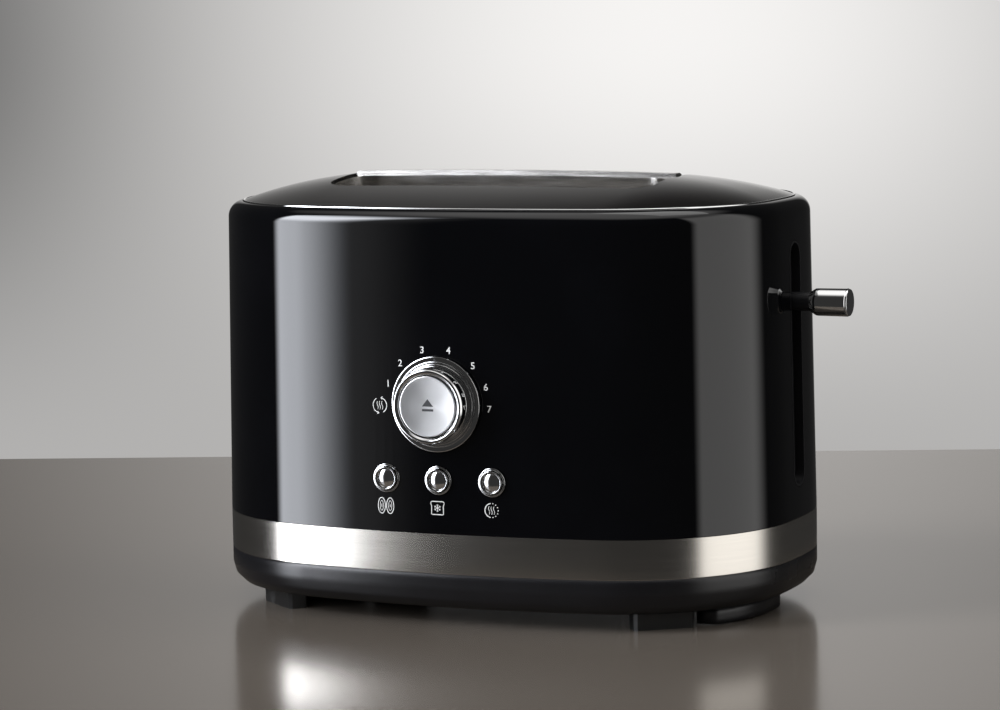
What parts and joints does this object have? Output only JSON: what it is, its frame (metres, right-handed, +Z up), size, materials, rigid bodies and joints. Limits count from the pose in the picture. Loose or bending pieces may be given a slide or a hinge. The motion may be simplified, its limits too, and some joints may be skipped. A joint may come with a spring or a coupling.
{
  "type": "manual toaster",
  "caption": "Manual toaster with an oval black body, domed top over long bread slots, a side lever, a front browning dial with a cancel button and small push buttons.",
  "frame": {"origin": "bottom centre of the whole box, lever and dial included, on the plane the feet stand on", "axes": "+X along the body towards the lever, +Y from the dial face to the rear, +Z up"},
  "size_m": [0.296, 0.1952, 0.1968],
  "materials": {
    "black_gloss": "gloss",
    "black_cover": "satin gloss",
    "brushed_band": "brushed along the body",
    "polished_lining": "polished",
    "base_plastic": "matt",
    "channel_plastic": "matt",
    "foot_rubber": "matt",
    "galvanised": "rolled",
    "zinc_screw": "plated",
    "chrome": "mirror",
    "satin_chrome": "satin",
    "dial_chrome": "mirror",
    "mica": "flaky",
    "ribbon_alloy": "oxidised",
    "cage_wire": "plated wire",
    "spring_steel": "bright",
    "copper_winding": "enamelled wire",
    "iron": "machined",
    "switch_plastic": "matt",
    "board_laminate": "lacquered"
  },
  "bodies": {
    "casing": {"outer_shell": "black_gloss", "top_cover": "black_cover", "slot_insert": "polished_lining", "slot_divider": "polished_lining", "steel_band": "brushed_band", "base_shell": "base_plastic", "base_screws": "zinc_screw", "lever_channel": "channel_plastic", "chassis_frame": "galvanised", "guide_rod": "spring_steel", "rod_bracket": "galvanised", "return_spring": "spring_steel", "magnet_core": "iron", "magnet_coil": "copper_winding", "power_contacts": "switch_plastic", "control_board": "board_laminate", "board_brackets": "galvanised", "tact_switches": "switch_plastic", "dial_bushing": "switch_plastic", "end_plate_left": "galvanised", "end_plate_right": "galvanised", "cord_cleat_left": "base_plastic", "cord_cleat_right": "base_plastic", "foot_front_left": "foot_rubber", "foot_rear_left": "foot_rubber", "foot_front_right": "foot_rubber", "foot_rear_right": "foot_rubber", "heat_shield_front": "galvanised", "heat_shield_rear": "galvanised", "heater_card_front": "mica", "heater_card_centre": "mica", "heater_card_rear": "mica", "heater_ribbon_front_outer": "ribbon_alloy", "heater_ribbon_front_inner": "ribbon_alloy", "heater_ribbon_rear_outer": "ribbon_alloy", "heater_ribbon_rear_inner": "ribbon_alloy", "bagel_bezel": "chrome", "frozen_bezel": "chrome", "reheat_bezel": "chrome"},
    "carriage": {"carriage_bracket": "galvanised", "keeper_plate": "iron", "bread_rack_front": "galvanised", "bread_rack_rear": "galvanised", "lever_arm": "galvanised", "lever_stem": "channel_plastic", "lever_knob": "chrome"},
    "cage_front_outer": {"guide_cage_front_outer": "cage_wire"},
    "cage_front_inner": {"guide_cage_front_inner": "cage_wire"},
    "cage_rear_outer": {"guide_cage_rear_outer": "cage_wire"},
    "cage_rear_inner": {"guide_cage_rear_inner": "cage_wire"},
    "shade_dial": {"shade_dial": "dial_chrome"},
    "cancel_button": {"cancel_button": "satin_chrome"},
    "bagel_button": {"bagel_button": "chrome"},
    "frozen_button": {"frozen_button": "chrome"},
    "reheat_button": {"reheat_button": "chrome"},
    "crumb_tray": {"crumb_tray": "galvanised", "crumb_tray_front": "base_plastic"}
  },
  "joints": [
    {"name": "carriage_lift", "type": "slide", "parent": "casing", "child": "carriage", "axis": [0, 0, 1], "range_m": [-0.074, 0.018], "stiffness_N_per_m": 60, "springref_m": 0.018, "deforming": ["return_spring"]},
    {"name": "cage_front_outer_close", "type": "slide", "parent": "casing", "child": "cage_front_outer", "axis": [0, 1, 0], "range_m": [-0.002, 0.0081]},
    {"name": "cage_front_inner_close", "type": "slide", "parent": "casing", "child": "cage_front_inner", "axis": [0, -1, 0], "range_m": [-0.002, 0.0081]},
    {"name": "cage_rear_outer_close", "type": "slide", "parent": "casing", "child": "cage_rear_outer", "axis": [0, -1, 0], "range_m": [-0.002, 0.0081]},
    {"name": "cage_rear_inner_close", "type": "slide", "parent": "casing", "child": "cage_rear_inner", "axis": [0, 1, 0], "range_m": [-0.002, 0.0081]},
    {"name": "shade_dial_turn", "type": "hinge", "parent": "casing", "child": "shade_dial", "pos_m": [-0.012, -0.09465, 0.0995], "axis": [0, 1, 0], "range_deg": [-92, 92]},
    {"name": "cancel_press", "type": "slide", "parent": "casing", "child": "cancel_button", "axis": [0, 1, 0], "range_m": [0, 0.0015], "stiffness_N_per_m": 600, "springref_m": -0.0015},
    {"name": "bagel_press", "type": "slide", "parent": "casing", "child": "bagel_button", "axis": [0, 1, 0], "range_m": [0, 0.0012], "stiffness_N_per_m": 600, "springref_m": -0.0015},
    {"name": "frozen_press", "type": "slide", "parent": "casing", "child": "frozen_button", "axis": [0, 1, 0], "range_m": [0, 0.0012], "stiffness_N_per_m": 600, "springref_m": -0.0015},
    {"name": "reheat_press", "type": "slide", "parent": "casing", "child": "reheat_button", "axis": [0, 1, 0], "range_m": [0, 0.0012], "stiffness_N_per_m": 600, "springref_m": -0.0015},
    {"name": "crumb_tray_slide", "type": "slide", "parent": "casing", "child": "crumb_tray", "axis": [0, 1, 0], "range_m": [0, 0.15]}
  ],
  "couplings": [
    {"joint": "cage_front_outer_close", "follows": "carriage_lift", "ratio": -0.10811},
    {"joint": "cage_front_inner_close", "follows": "carriage_lift", "ratio": -0.10811},
    {"joint": "cage_rear_outer_close", "follows": "carriage_lift", "ratio": -0.10811},
    {"joint": "cage_rear_inner_close", "follows": "carriage_lift", "ratio": -0.10811}
  ]
}
